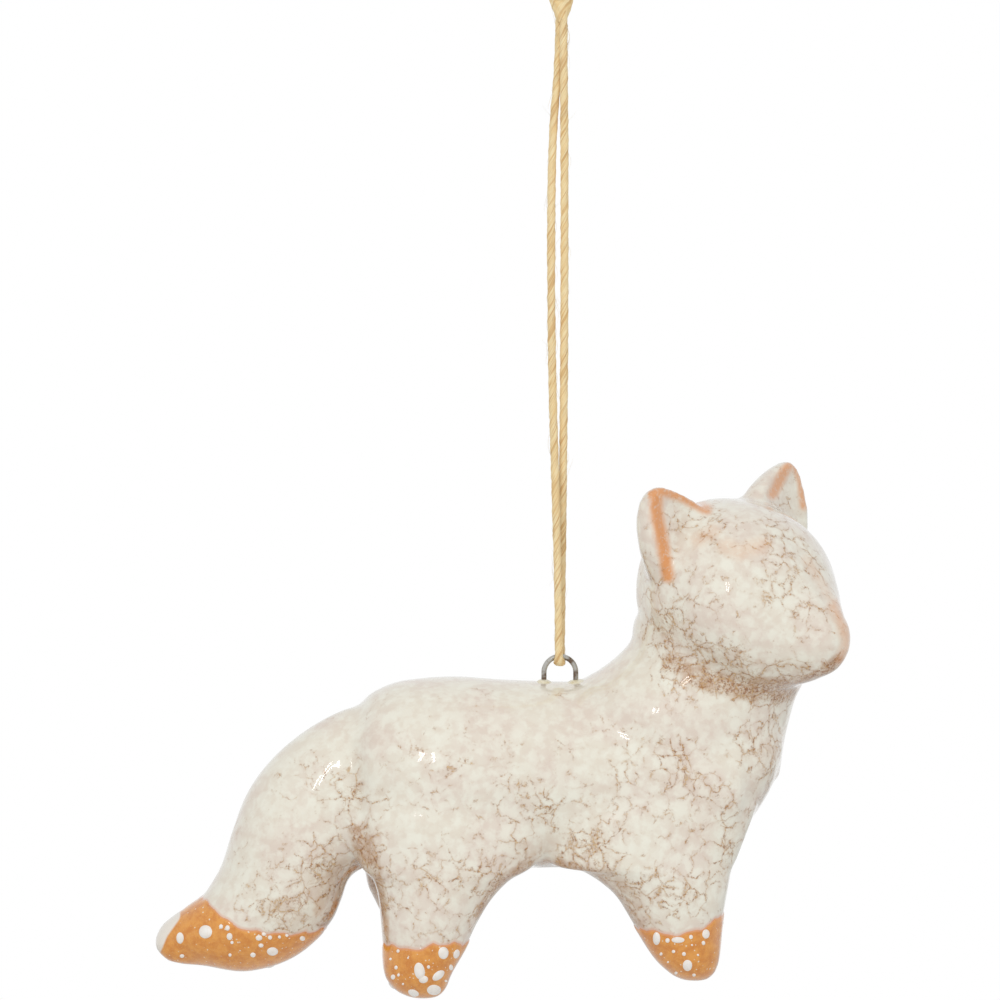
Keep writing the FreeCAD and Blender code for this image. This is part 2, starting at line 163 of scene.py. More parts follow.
def even_points(points, step):
    """The same line with evenly spaced points."""
    along = distance_along(points)
    places = np.linspace(0, along[-1], max(4, int(along[-1] / step) + 1))
    return np.stack([np.interp(places, along, points[:, axis]) for axis in range(3)], 1)


def carried_frames(points):
    """Directions square to a line at each of its points, carried along without twist."""
    ahead = np.gradient(points, axis=0)
    ahead /= np.linalg.norm(ahead, axis=1)[:, None]
    side = np.cross(ahead[0], [0.3, 1.0, 0.1])
    side /= np.linalg.norm(side)
    sides = []
    for direction in ahead:
        side = side - direction * (side @ direction)
        side /= np.linalg.norm(side)
        sides.append(side)
    sides = np.array(sides)
    return sides, np.cross(ahead, sides)


def new_piece(name, points, faces, material, smooth=True):
    mesh = bpy.data.meshes.new(name)
    mesh.from_pydata([tuple(point) for point in points], [], [tuple(face) for face in faces])
    mesh.update()
    if smooth:
        mesh.shade_smooth()
    mesh.materials.append(material)
    return linked(name, mesh)


def round_angles(sides):
    return 2 * math.pi * np.arange(sides) / sides


def tube_grid(rings, sides, offset=0):
    """Faces of a closed tube whose points are given ring by ring."""
    faces = []
    for ring in range(rings - 1):
        for side in range(sides):
            a = offset + ring * sides + side
            b = offset + ring * sides + (side + 1) % sides
            faces.append((a, b, b + sides, a + sides))
    faces.append(tuple(offset + side for side in reversed(range(sides))))
    faces.append(tuple(offset + (rings - 1) * sides + side for side in range(sides)))
    return faces


def linear(red, green, blue):
    """A colour given as 0 to 255 on the screen, as the shader wants it."""
    parts = [value / 255 for value in (red, green, blue)]
    return tuple(p / 12.92 if p <= 0.04045 else ((p + 0.055) / 1.055) ** 2.4 for p in parts) + (1,)


class Shader:
    """A material's node tree with short calls for its nodes."""

    def __init__(self, name):
        self.material = bpy.data.materials.new(name)
        self.material.use_nodes = True
        self.nodes = self.material.node_tree.nodes
        self.links = self.material.node_tree.links
        self.surface = self.nodes["Principled BSDF"]

    def add(self, kind, inputs=(), **settings):
        node = self.nodes.new("ShaderNode" + kind)
        for name, value in settings.items():
            setattr(node, name, value)
        for key, value in dict(inputs).items():
            if isinstance(value, bpy.types.NodeSocket):
                self.links.new(value, node.inputs[key])
            else:
                node.inputs[key].default_value = value
        return node

    def vector(self, operation, first, second):
        return self.add("VectorMath", {0: first, 1: second}, operation=operation).outputs[0]

    def millimetres(self):
        return self.vector("MULTIPLY", self.add("TexCoord").outputs["Object"], (1000, 1000, 1000))

    def math(self, operation, first, second=0.0, third=None):
        inputs = {0: first, 1: second}
        if third is not None:
            inputs[2] = third
        return self.add("Math", inputs, operation=operation).outputs[0]

    def times(self, first, second):
        return self.math("MULTIPLY", first, second)

    def noise(self, vector, scale, detail=2.0, rough=0.5, output="Fac"):
        inputs = {"Vector": vector, "Scale": scale, "Detail": detail, "Roughness": rough}
        return self.add("TexNoise", inputs).outputs[output]

    def cells(self, vector, scale, feature="DISTANCE_TO_EDGE"):
        return self.add("TexVoronoi", {"Vector": vector, "Scale": scale}, feature=feature).outputs["Distance"]

    def step(self, value, low, high, to_low=0.0, to_high=1.0):
        """A smooth step from to_low to to_high as value goes from low to high."""
        inputs = {"Value": value, "From Min": low, "From Max": high, "To Min": to_low, "To Max": to_high}
        return self.add("MapRange", inputs, interpolation_type="SMOOTHSTEP").outputs[0]

    def mix(self, share, first, second):
        return self.add("Mix", {0: share, 6: first, 7: second}, data_type="RGBA").outputs[2]

    def warp(self, vector, scale, reach, detail=2.0):
        """The vector pushed about by noise, by up to about reach."""
        push = self.noise(vector, scale, detail, output="Color")
        centred = self.vector("SUBTRACT", push, (0.5, 0.5, 0.5))
        return self.vector("ADD", vector, self.vector("MULTIPLY", centred, (reach, reach, reach)))

    def attribute(self, name):
        return self.add("Attribute", attribute_name=name).outputs["Fac"]

    def bump(self, height, strength, depth):
        node = self.add("Bump", {"Height": height, "Strength": strength, "Distance": depth})
        self.links.new(node.outputs[0], self.surface.inputs["Normal"])

    def finish(self, colour, roughness, **sockets):
        self.links.new(colour, self.surface.inputs["Base Color"])
        if isinstance(roughness, bpy.types.NodeSocket):
            self.links.new(roughness, self.surface.inputs["Roughness"])
        else:
            self.surface.inputs["Roughness"].default_value = roughness
        for name, value in sockets.items():
            self.surface.inputs[name.replace("_", " ")].default_value = value
        return self.material


def cream_glaze():
    """Cream glaze that gathered in pale cells, with broken brown lines between them."""
    s = Shader("cream_glaze")
    place = s.millimetres()
    brown_and_shade = s.attribute("brown_and_shade")
    warped = s.warp(s.warp(s.warp(place, 0.28, 2.6), 0.72, 1.3, 1.5), 1.5, 0.50, 2.0)
    # how many lines are drawn: more in patches and where the mesh is marked for brown glaze and painted shade
    drawn = s.math("ADD", s.times(s.noise(place, 0.15), 0.85), s.times(s.noise(place, 0.85, 3.0, 0.6), 0.85))
    drawn = s.math("ADD", drawn, s.math("MULTIPLY_ADD", brown_and_shade, 0.34, -0.02))
    large = s.cells(warped, 0.40)
    small = s.cells(s.warp(warped, 2.0, 0.6), 0.95)
    grain = s.noise(place, 3.6, 3.0, 0.65)
    # thin outlines of the cells, faint where few are drawn
    outline = s.times(s.step(large, 0.0, 0.060, 1.0, 0.0), s.step(drawn, 0.78, 1.02))
    fine = s.times(s.step(small, 0.0, 0.10, 1.0, 0.0), s.step(drawn, 0.96, 1.22))
    # clots of darker brown that sit on the outlines, and specks where many are drawn
    near_line = s.step(large, 0.02, 0.14, 1.0, 0.0)
    clot_noise = s.noise(s.warp(place, 1.6, 0.5), 2.3, 2.5, 0.66)
    clots = s.times(s.step(clot_noise, 0.52, 0.62), s.times(near_line, s.step(drawn, 0.78, 1.02)))
    specks = s.times(s.step(clot_noise, 0.51, 0.61), s.step(drawn, 1.04, 1.30))
    # the ground between the lines: haze, paler glaze, and brown that has soaked in, partly painted shade
    # where the mesh is marked for it
    tint = s.noise(place, 0.12)
    blotch = s.noise(place, 0.55, 3.0, 0.55)
    haze = s.mix(s.step(tint, 0.36, 0.64), linear(235, 226, 209), linear(230, 215, 200))
    pale = s.mix(s.step(tint, 0.40, 0.70), linear(244, 241, 226), linear(242, 235, 220))
    in_cell, in_blotch = s.step(large, 0.02, 0.30), s.step(blotch, 0.40, 0.60)
    gathered = s.math("ADD", s.times(in_cell, 0.35), s.times(in_blotch, 0.65))
    cream = s.mix(gathered, haze, pale)
    shadow = s.times(s.step(large, 0.0, 0.22, 1.0, 0.0), s.step(drawn, 0.78, 1.10))
    cream = s.mix(s.times(shadow, 0.34), cream, linear(206, 182, 162))
    # brown stain and darker soaked brown where the mesh is marked: partly brown glaze, partly painted shade
    # in hollows, underneath and along the dark strokes
    stain_and_shade = s.times(s.step(brown_and_shade, 0.10, 1.05), s.step(blotch, 0.34, 0.62, 0.62, 0.28))
    cream = s.mix(stain_and_shade, cream, linear(188, 146, 106))
    soaked_and_shade = s.times(s.step(brown_and_shade, 0.80, 1.60), s.step(clot_noise, 0.40, 0.60, 0.06, 0.62))
    cream = s.mix(soaked_and_shade, cream, linear(160, 100, 52))
    line_tone = s.mix(s.step(grain, 0.38, 0.62), linear(150, 98, 28), linear(206, 162, 88))
    colour = s.mix(s.times(outline, s.step(grain, 0.34, 0.60, 0.22, 0.72)), cream, line_tone)
    colour = s.mix(s.times(fine, 0.42), colour, line_tone)
    clot_tone = s.mix(s.step(grain, 0.36, 0.62), linear(116, 66, 12), linear(176, 114, 44))
    colour = s.mix(s.times(s.math("MAXIMUM", clots, specks), 0.74), colour, clot_tone)
    ragged = s.step(s.noise(place, 1.6, 3.0, 0.6), 0.28, 0.52, 0.55, 1.0)
    colour = s.mix(s.times(s.attribute("peach"), ragged), colour, linear(230, 150, 74))
    blush = s.step(s.math("ABSOLUTE", s.attribute("dip")), 0.05, 0.60, 0.70, 0.0)
    colour = s.mix(blush, colour, linear(230, 182, 158))
    s.bump(s.noise(place, 0.45), 0.10, 0.0006)
    return s.finish(colour, 0.22, Coat_Weight=1.0, Coat_Roughness=0.04, Coat_IOR=1.5)


def amber_glaze():
    """Amber glaze with a fine grain, pinkish where its edge thins out, and flecked with tiny white dots."""
    s = Shader("amber_glaze")
    place = s.millimetres()
    tone = s.noise(place, 0.9, 3.0, 0.6)
    grain = s.noise(place, 4.5, 3.0, 0.6)
    amber = s.mix(s.step(tone, 0.32, 0.68), linear(216, 132, 34), linear(236, 160, 62))
    amber = s.mix(s.step(grain, 0.50, 0.72, 0.0, 0.40), amber, linear(242, 184, 98))
    amber = s.mix(s.step(s.attribute("dip"), 0.0, 0.40, 0.75, 0.0), amber, linear(228, 158, 118))
    dots = s.step(s.cells(s.warp(place, 1.5, 0.3), 1.35, "F1"), 0.11, 0.21, 1.0, 0.0)
    sparse = s.step(s.noise(place, 0.8), 0.44, 0.52)
    amber = s.mix(s.times(dots, s.times(sparse, 0.9)), amber, linear(246, 228, 200))
    amber = s.mix(s.step(s.attribute("tip"), 0.42, 0.58), amber, linear(242, 234, 222))
    s.bump(tone, 0.12, 0.0003)
    return s.finish(amber, 0.22, Coat_Weight=1.0, Coat_Roughness=0.04)


def white_glaze(name, shade, pale):
    s = Shader(name)
    tone = s.noise(s.millimetres(), 0.9)
    return s.finish(s.mix(s.step(tone, 0.35, 0.65), shade, pale), 0.2, Coat_Weight=1.0, Coat_Roughness=0.04)


def wire_metal():
    """Dull steel wire, oxidised brown in places."""
    s = Shader("wire_metal")
    place = s.millimetres()
    worn = s.step(s.noise(place, 0.55, 3.0, 0.6), 0.42, 0.62)
    colour = s.mix(worn, linear(188, 186, 180), linear(120, 102, 88))
    rough = s.step(s.noise(place, 3.0), 0.3, 0.7, 0.26, 0.42)
    s.bump(s.noise(place, 6.0), 0.15, 0.0001)
    return s.finish(colour, rough, Metallic=1.0)


def twine_fibre(name, light, middle, dark):
    """Straw-coloured bast: fine streaks run along the lay, which the mesh holds as its map."""
    s = Shader(name)
    lay = s.add("UVMap", uv_map="lay").outputs[0]
    fine = s.noise(s.add("Mapping", {"Vector": lay, "Scale": (26.0, 0.30, 1.0)}).outputs[0], 1.0, 3.0, 0.7)
    broad = s.noise(s.add("Mapping", {"Vector": lay, "Scale": (9.0, 0.16, 1.0)}).outputs[0], 1.0)
    tone = s.noise(s.millimetres(), 0.25)
    colour = s.mix(s.step(fine, 0.36, 0.60), middle, light)
    colour = s.mix(s.step(broad, 0.50, 0.34, 0.0, 0.75), colour, dark)
    colour = s.mix(s.step(fine, 0.36, 0.24, 0.0, 0.6), colour, dark)
    colour = s.mix(s.step(tone, 0.50, 0.72, 0.0, 0.35), colour, middle)
    s.bump(s.math("ADD", fine, broad), 0.8, 0.00010)
    return s.finish(colour, 0.72)


def twine_points(path, diameter, seed):
    """A bundle of fibres along a line: ridges wind along it, and it swells and thins a little."""
    side, across = carried_frames(path)
    along = distance_along(path)
    angles = round_angles(TWINE_SIDES)
    cosines, sines = np.cos(angles)[:, None], np.sin(angles)[:, None]
    points = []
    for index, centre in enumerate(path):
        s = along[index]
        lay = angles - 2 * math.pi * s / LAY_LENGTH
        slow, quick = (noise.noise(Vector((s * rate, seed, row))) for rate, row in ((130, 0), (600, 5)))
        swell = 1.0 + 0.09 * slow + 0.04 * quick
        ridges = 0.97 + 0.045 * np.cos(2 * lay) + 0.028 * np.cos(5 * lay + 1) + 0.022 * np.cos(9 * lay)
        radius = diameter / 2 * 1.07 * swell * ridges
        spread = radius[:, None] * (side[index] * cosines + across[index] * sines)
        flat = np.exp(-((centre[2] - BIGHT_BOTTOM) / 0.0007) ** 2)
        points.append(centre + spread * (1 + 0.35 * flat, 1, 1 - 0.32 * flat))
    return np.concatenate(points), along


def make_bundle(name, path, material, seed, diameter=TWINE_DIAMETER):
    points, along = twine_points(path, diameter, seed)
    piece = new_piece(name, points, tube_grid(len(path), TWINE_SIDES), material)
    write_lay(piece, along, TWINE_SIDES, LAY_LENGTH)
    return piece


def hair_points(line, radii, turns):
    """Points of a thin tube round a line, ring by ring."""
    side, across = carried_frames(line)
    return [centre + radii[index] * (side[index] * math.cos(turn) + across[index] * math.sin(turn))
            for index, centre in enumerate(line) for turn in turns]


def stray_fibre(start, away, along, length, bend):
    """Points of one thin hair that leaves the twine's surface and bends back along it."""
    steps = np.linspace(0, 1, HAIR_STEPS)
    line = start + np.outer(length * steps, along) + np.outer(length * 0.35 * steps * (1.2 - steps), away)
    line += np.outer(length * 0.15 * np.sin(steps * 5) * steps, bend)
    return hair_points(line, FIBRE_RADIUS * (1 - 0.7 * steps), HAIR_TURNS)


def make_fibres(name, lines, count, material, seed, longest=0.0034):
    """Loose hairs scattered over some lengths of twine."""
    draw = random.Random(seed)
    points, faces = [], []
    for _ in range(count):
        path = draw.choice(lines)
        side, across = carried_frames(path)
        index = draw.randrange(2, len(path) - 2)
        ahead = path[index + 1] - path[index - 1]
        ahead = ahead / np.linalg.norm(ahead) * draw.choice((1, -1))
        angle = draw.uniform(0, 2 * math.pi)
        away = side[index] * math.cos(angle) + across[index] * math.sin(angle)
        bend = np.cross(away, ahead)
        start = path[index] + away * TWINE_DIAMETER * 0.44
        direction = ahead + bend * draw.uniform(-0.5, 0.5)
        length = draw.uniform(longest * 0.3, longest)
        hair = stray_fibre(start, away, direction / np.linalg.norm(direction), length, bend)
        faces += tube_grid(HAIR_STEPS, len(HAIR_TURNS), offset=len(points))
        points += hair
    piece = new_piece(name, points, faces, material)
    piece.data.uv_layers.new(name="lay")
    return piece


def make_twine(material):
    """The whole length of twine, from the knot round the wire and back."""
    path = even_points(spline_points("twine_route", TWINE_ROUTE), 0.00025)
    return make_bundle("twine", path, material, 3.1), path


def write_lay(piece, along, sides, lay_length):
    """Stores how far round and how far along the lay each corner is."""
    layer = piece.data.uv_layers.new(name="lay")
    total = len(along) * sides
    for polygon in piece.data.polygons:
        steps = [piece.data.loops[loop].vertex_index % sides for loop in polygon.loop_indices]
        wraps = max(steps) - min(steps) > sides // 2
        for loop in polygon.loop_indices:
            vertex = piece.data.loops[loop].vertex_index
            if vertex >= total:
                continue
            ring, step = divmod(vertex, sides)
            round_share = step / sides + (1.0 if wraps and step < sides // 2 else 0.0)
            layer.data[loop].uv = (round_share - along[ring] / lay_length, along[ring] * 1000)


# The overhand knot: its two strands follow one knotted line, and their cut ends stand out of its top
KNOT_REACH = 1.95
KNOT_DEPTH = 0.0012
KNOT_HEIGHT = 0.0046
KNOT_WIDTH = 0.0036
# Where the strands run into the knot: height, half width and half depth in millimetres
KNOT_THROAT = [
    (-1.3, 0.62, 0.80), (-0.8, 0.84, 0.95), (-0.2, 1.04, 1.05), (0.4, 1.28, 1.15), (1.0, 1.50, 1.25),
    (1.7, 1.70, 1.35), (2.4, 1.74, 1.40), (3.2, 1.60, 1.30), (4.0, 1.20, 1.05), (4.5, 0.60, 0.60),
]
THROAT_SIDES = 32
THROAT_LAY = 0.012
KNOT_MIDDLE = 0.0002
CUT_ENDS = [
    [(-0.0003, 0.0001, 0.003), (-0.001, 0.0, 0.0052), (-0.0019, 0.0002, 0.0078), (-0.0028, 0.0, 0.0106)],
    [(0.0003, -0.0001, 0.003), (0.0011, 0.0001, 0.0052), (0.0018, -0.0002, 0.0076), (0.0027, 0.0001, 0.0103)],
]
# Fibres drawn across the strands: height of the start in millimetres, angle, length and direction of turning
CROSSING_FIBRES = [
    (0.4, 0.0, 3.6, 1), (0.0, 2.6, 3.2, -1), (-2.4, 1.0, 3.4, 1), (-2.8, 3.6, 3.0, -1), (-0.6, 4.4, 2.6, 1),
]


def knot_line(side):
    """One of the two strands of a tight overhand knot, from its mouth to the foot of its cut end."""
    turns = np.linspace(-KNOT_REACH, KNOT_REACH, 120)
    across = (turns ** 3 - 3 * turns) / 2.2
    deep = (turns ** 4 - 4 * turns ** 2 + 2.2) / 2.6
    high = (turns ** 5 - 10 * turns) / 14
    apart = side * TWINE_DIAMETER * 0.42
    return np.stack([across * KNOT_WIDTH * 0.30 + KNOT_MIDDLE,
                     apart * np.cos(turns) - deep * KNOT_DEPTH,
                     KNOT_HEIGHT * 0.58 + high * KNOT_HEIGHT * 0.22 + turns * KNOT_HEIGHT * 0.09
                     + apart * np.sin(turns) * 0.8], 1)


def make_throat(material):
    """The cone of fibres in which the two strands spread into the knot."""
    turns = round_angles(THROAT_SIDES)
    points, rows = [], smooth_rows(KNOT_THROAT, 5)
    for height, half_width, half_depth in rows:
        swirl = turns + height * 0.5
        ridges = 1 + 0.035 * np.cos(5 * swirl) + 0.03 * np.cos(9 * swirl + 1)
        points.append(np.stack([KNOT_MIDDLE + half_width * MM * np.cos(turns) * ridges,
                                half_depth * MM * np.sin(turns) * ridges,
                                np.full(THROAT_SIDES, height * MM)], 1))
    piece = new_piece("knot_throat", np.concatenate(points), tube_grid(len(rows), THROAT_SIDES), material)
    write_lay(piece, rows[:, 0] * MM, THROAT_SIDES, THROAT_LAY)
    return piece


def make_knot(material):
    pieces = [make_throat(material)]
    for number, side in enumerate((1, -1)):
        path = even_points(knot_line(side), 0.0002)
        name, seed = f"knot_turns_{number}", 11.0 + number
        pieces.append(make_bundle(name, path, material, seed, TWINE_DIAMETER * 0.92))
    return pieces


def make_cut_ends(material):
    ends = []
    for name, route, seed in (("left", CUT_ENDS[0], 21.0), ("right", CUT_ENDS[1], 27.0)):
        path = even_points(spline_points(f"cut_end_{name}_route", route), 0.0002)
        ends.append((name, make_bundle(f"cut_end_{name}", path, material, seed, TWINE_DIAMETER * 0.96), path))
    return ends


def make_crossing_fibres(material):
    """A few pale fibres that are drawn across the two strands under the knot."""
    points, faces = [], []
    steps = np.linspace(0, 1, 26)
    quarters = [quarter * math.pi / 2 for quarter in range(4)]
    for start, turns, length, handed in CROSSING_FIBRES:
        angle = turns + handed * steps * math.pi * 1.1
        line = np.stack([KNOT_MIDDLE + 0.00088 * np.cos(angle), 0.00122 * np.sin(angle),
                         (start - length * steps) * MM], 1)
        faces += tube_grid(len(line), len(quarters), offset=len(points))
        points += hair_points(line, np.full(len(line), FIBRE_RADIUS * 1.6), quarters)
    piece = new_piece("crossing_fibres", points, faces, material)
    piece.data.uv_layers.new(name="lay")
    return piece


# Sizes of the clay forms, in millimetres or degrees
HANG_LENGTH = 93.4
EYE_RADIUS = 2.3
EYE_STAND = 1.55
BACK = -(HANG_LENGTH + EYE_RADIUS + EYE_STAND)
TORSO = {"length": 64.0, "height": 27.3, "width": 28.0}
NECK = {"depth": 24.0, "height": 12.0, "width": 23.0, "place": 10.9}
HEAD = {"length": 33.0, "height": 26.6, "width": 27.6, "forward": 25.1, "rise": 13.2, "side": 1.35,
        "turn": 45.0, "tilt": 3.4}
EAR = {"turn": 6.0, "cup": 2.2, "square": 2.3}
# Where each ear stands on the head and how far its inner edge reaches: 1 is the left one
EAR_ROOTS = {1: (0.4, 13.8), -1: (-1.5, -12.0)}
EAR_REACH = {1: 1.14, -1: 1.0}
LEG_SPREAD = 17.5
LEG_WIDTH = 12.0
HIND_LEG = {"length": 44.15, "depth": 12.1, "along": -20.0, "shift": 18.0}
FRONT_LEG = {"length": 42.0, "depth": 11.1, "along": 19.0, "shift": 0.0}
TAIL = {"reach": 27.9, "drop": 33.1, "width": 17.0, "place": 29.9, "root_drop": 8.6}

# Each row is one ring of a form, as shares of its sizes above.
# Torso: place along it, top, bottom and half width
TORSO_SHARES = [
    (-0.479, 0.3, 0.62, 0.35), (-0.456, 0.13, 0.8, 0.62), (-0.41, 0.03, 0.92, 0.8), (-0.34, -0.02, 1, 0.93),
    (-0.24, -0.035, 1.02, 1), (-0.12, -0.015, 0.99, 0.97), (0.06, 0, 0.985, 0.93), (0.236, -0.01, 1.02, 0.97),
    (0.337, 0.02, 1, 0.95), (0.416, 0.07, 0.78, 0.8), (0.468, 0.13, 0.6, 0.6), (0.498, 0.22, 0.42, 0.35),
]
# Neck and tail: place and height of the outer point, then of the inner point, and half width
NECK_SHARES = [
    (-0.46, -0.60, 0.87, -1.15, 1.10), (-0.34, -0.01, 0.91, -0.62, 1.10), (-0.215, 0.14, 0.94, -0.38, 1.06),
    (-0.105, 0.31, 0.97, -0.18, 1.02), (-0.03, 0.48, 1.01, -0.02, 1.00), (-0.01, 0.70, 1.03, 0.18, 0.98),
    (0.04, 0.92, 0.98, 0.55, 0.92),
]
# Head: place along it, rise, half height and half width
HEAD_SHARES = [
    (-0.385, 0, 0.28, 0.28), (-0.352, 0, 0.58, 0.56), (-0.255, 0.01, 0.86, 0.81), (-0.07, 0.01, 0.99, 0.985),
    (0.11, -0.01, 0.98, 1), (0.25, -0.05, 0.91, 0.89), (0.36, -0.1, 0.76, 0.68), (0.46, -0.17, 0.54, 0.455),
    (0.54, -0.21, 0.37, 0.29), (0.588, -0.22, 0.21, 0.18), (0.606, -0.22, 0.09, 0.08),
]
# The left ear from inside the skull to its tip, in millimetres: height, inner and outer edge, back and front
EAR_ROWS = [
    (-5.0, -7.0, -4.0, -4.0, -1.0), (0.0, -9.0, -0.6, -5.0, 1.0), (5.0, -9.5, 2.4, -5.2, 2.3),
    (9.0, -9.6, 3.6, -5.0, 2.0), (11.8, -8.7, 3.7, -4.8, 1.4), (13.6, -6.9, 3.4, -4.4, 0.9),
    (15.0, -4.6, 2.9, -3.9, 0.5), (16.0, -2.6, 2.2, -3.2, 0.1), (16.6, -1.0, 1.4, -2.4, -0.4),
    (16.9, -0.1, 0.7, -1.8, -0.9),
]
# Legs: height from the foot, back, front, half width and how far inward
HIND_LEG_SHARES = [
    (0, -0.14, 0.11, 0.16, 0), (0.011, -0.25, 0.17, 0.34, 0), (0.035, -0.38, 0.24, 0.58, 0),
    (0.083, -0.48, 0.31, 0.8, 0), (0.162, -0.505, 0.475, 0.92, 0), (0.245, -0.53, 0.62, 1.01, 0),
    (0.309, -0.55, 0.76, 1.07, 0.01), (0.373, -0.6, 0.97, 1.14, 0.03), (0.436, -0.78, 1.33, 1.2, 0.05),
    (0.541, -0.92, 1.6, 1.24, 0.08), (0.66, -0.74, 1.1, 1.1, 0.12), (0.75, -0.5, 0.66, 0.75, 0.16),
]
FRONT_LEG_SHARES = [
    (0, -0.12, 0.12, 0.16, 0), (0.01, -0.23, 0.18, 0.34, 0), (0.033, -0.36, 0.25, 0.58, 0),
    (0.081, -0.54, 0.3, 0.8, 0), (0.198, -0.82, 0.345, 0.97, 0), (0.292, -1.04, 0.405, 1.05, 0),
    (0.34, -1.24, 0.44, 1.09, 0.01), (0.385, -1.52, 0.475, 1.14, 0.02), (0.428, -1.95, 0.56, 1.18, 0.04),
    (0.527, -2.05, 0.71, 1.18, 0.07), (0.632, -1.3, 0.82, 1.05, 0.1), (0.73, -0.7, 0.76, 0.75, 0.14),
]
TAIL_SHARES = [
    (-0.17, -0.19, -0.30, 0.255, 0.74), (0.04, -0.15, -0.26, 0.255, 0.80), (0.255, -0.053, -0.20, 0.31, 0.87),
    (0.437, 0.082, -0.16, 0.42, 0.95), (0.557, 0.23, -0.075, 0.53, 1.00), (0.627, 0.387, 0.015, 0.58, 1.00),
    (0.685, 0.537, 0.06, 0.68, 0.98), (0.765, 0.65, 0.11, 0.775, 0.93), (0.855, 0.715, 0.275, 0.912, 0.82),
    (0.935, 0.765, 0.54, 0.99, 0.60), (0.987, 0.805, 0.775, 0.965, 0.36), (1.012, 0.85, 0.945, 0.945, 0.18),
    (1.016, 0.875, 0.995, 0.915, 0.06),
]
RING_SIDES = 64
SKIN_VOXEL = 0.5


def smooth_rows(rows, per_span=7):
    """More rows between the given ones, on a smooth curve through them."""
    rows = np.array(rows, float)
    spans = np.linalg.norm(np.diff(rows, axis=0), axis=1)
    slopes = np.gradient(rows, distance_along(rows), axis=0)
    made = []
    for index, span in enumerate(spans):
        for share in np.arange(per_span) / per_span:
            a, b = rows[index], rows[index + 1]
            p, q = slopes[index] * span, slopes[index + 1] * span
            s2, s3 = share ** 2, share ** 3
            made.append(a * (2 * s3 - 3 * s2 + 1) + p * (s3 - 2 * s2 + share)
                        + b * (3 * s2 - 2 * s3) + q * (s3 - s2))
    made.append(rows[-1])
    return np.array(made)


def ring(middle, first, second):
    turns = round_angles(RING_SIDES)
    middle, first, second = (np.array(vector, float) for vector in (middle, first, second))
    return middle + np.cos(turns)[:, None] * first + np.sin(turns)[:, None] * second


def torso_rings():
    for place, top, bottom, side in smooth_rows(TORSO_SHARES):
        middle = (place * TORSO["length"], 0, BACK - (top + bottom) / 2 * TORSO["height"])
        yield ring(middle, (0, side * TORSO["width"] / 2, 0), (0, 0, (bottom - top) / 2 * TORSO["height"]))


def pair_ring(first, second, half_width):
    """A ring square to the side view through two points of the outline."""
    first, second = np.array(first, float), np.array(second, float)
    return ring((first + second) / 2, (second - first) / 2, (0, half_width, 0))


def neck_rings():
    for back, back_up, front, front_up, side in smooth_rows(NECK_SHARES):
        first = (NECK["place"] + back * NECK["depth"], 0, BACK + back_up * NECK["height"])
        second = (NECK["place"] + front * NECK["depth"], 0, BACK + front_up * NECK["height"])
        yield pair_ring(first, second, side * NECK["width"] / 2)


def head_rings():
    for place, rise, half_height, half_width in smooth_rows(HEAD_SHARES):
        middle = (place * HEAD["length"], 0, rise * HEAD["height"])
        yield ring(middle, (0, half_width * HEAD["width"] / 2, 0), (0, 0, half_height * HEAD["height"] / 2))


def ear_rings(reach):
    """The left ear about its own root, hollowed on the side that faces forward."""
    turns, power = round_angles(RING_SIDES), EAR["square"]
    square = 1 / (np.abs(np.cos(turns)) ** power + np.abs(np.sin(turns)) ** power) ** (1 / power)
    aside = np.sin(turns) * square
    for height, inner, outer, back, front in smooth_rows(EAR_ROWS):
        inner = inner * reach
        points = np.stack([(back + front) / 2 + (front - back) / 2 * np.cos(turns) * square,
                           (inner + outer) / 2 + (outer - inner) / 2 * aside,
                           np.full(RING_SIDES, height)], 1)
        deep = unit((height - 3.0) / 4.0) * unit((16.6 - height) / 2.5)
        hollow = unit(1 - np.abs(aside / 0.80) ** 3.0) * EAR["cup"] * deep
        points[:, 0] -= np.where(np.cos(turns) > 0, hollow, 0)
        yield points


def leg_rings(leg, shares, side_sign):
    for height, back, front, side, inward in smooth_rows(shares):
        y = side_sign * (LEG_SPREAD / 2 - inward * LEG_SPREAD)
        shift = leg["shift"] * np.clip(0.265 - height, -0.04, 0.06) if side_sign > 0 else 0
        x = leg["along"] + shift + (back + front) / 2 * leg["depth"]
        middle = (x, y, BACK - leg["length"] * (1 - height))
        yield ring(middle, ((front - back) / 2 * leg["depth"], 0, 0), (0, side * LEG_WIDTH / 2, 0))


def tail_rings():
    for outer_back, outer_down, inner_back, inner_down, side in smooth_rows(TAIL_SHARES):
        top = BACK - TAIL["root_drop"]
        outer = (-TAIL["place"] - outer_back * TAIL["reach"], 0, top - outer_down * TAIL["drop"])
        inner = (-TAIL["place"] - inner_back * TAIL["reach"], 0, top - inner_down * TAIL["drop"])
        yield pair_ring(outer, inner, side * TAIL["width"] / 2)


def head_matrix():
    place = Matrix.Translation((HEAD["forward"], -HEAD["side"], BACK + HEAD["rise"]))
    tilt = Matrix.Rotation(math.radians(-HEAD["tilt"]), 4, "Y")
    return place @ tilt @ Matrix.Rotation(math.radians(-HEAD["turn"]), 4, "Z")


def ear_matrix(sign):
    root = Matrix.Translation((*EAR_ROOTS[sign], 0))
    return head_matrix() @ root @ Matrix.Rotation(math.radians(sign * EAR["turn"]), 4, "Z")


def moved(points, matrix):
    matrix = np.array(matrix)
    return points @ matrix[:3, :3].T + matrix[:3, 3]


def clay_forms():
    """Rings of each form, in place."""
    head = [moved(points, head_matrix()) for points in head_rings()]
    forms = [list(torso_rings()), list(neck_rings()), head]
    for sign in (1, -1):
        mirror = np.array((1, sign, 1))
        forms.append([moved(points * mirror, ear_matrix(sign)) for points in ear_rings(EAR_REACH[sign])])
        forms.append(list(leg_rings(HIND_LEG, HIND_LEG_SHARES, sign)))
        forms.append(list(leg_rings(FRONT_LEG, FRONT_LEG_SHARES, sign)))
    forms.append(list(tail_rings()))
    return forms


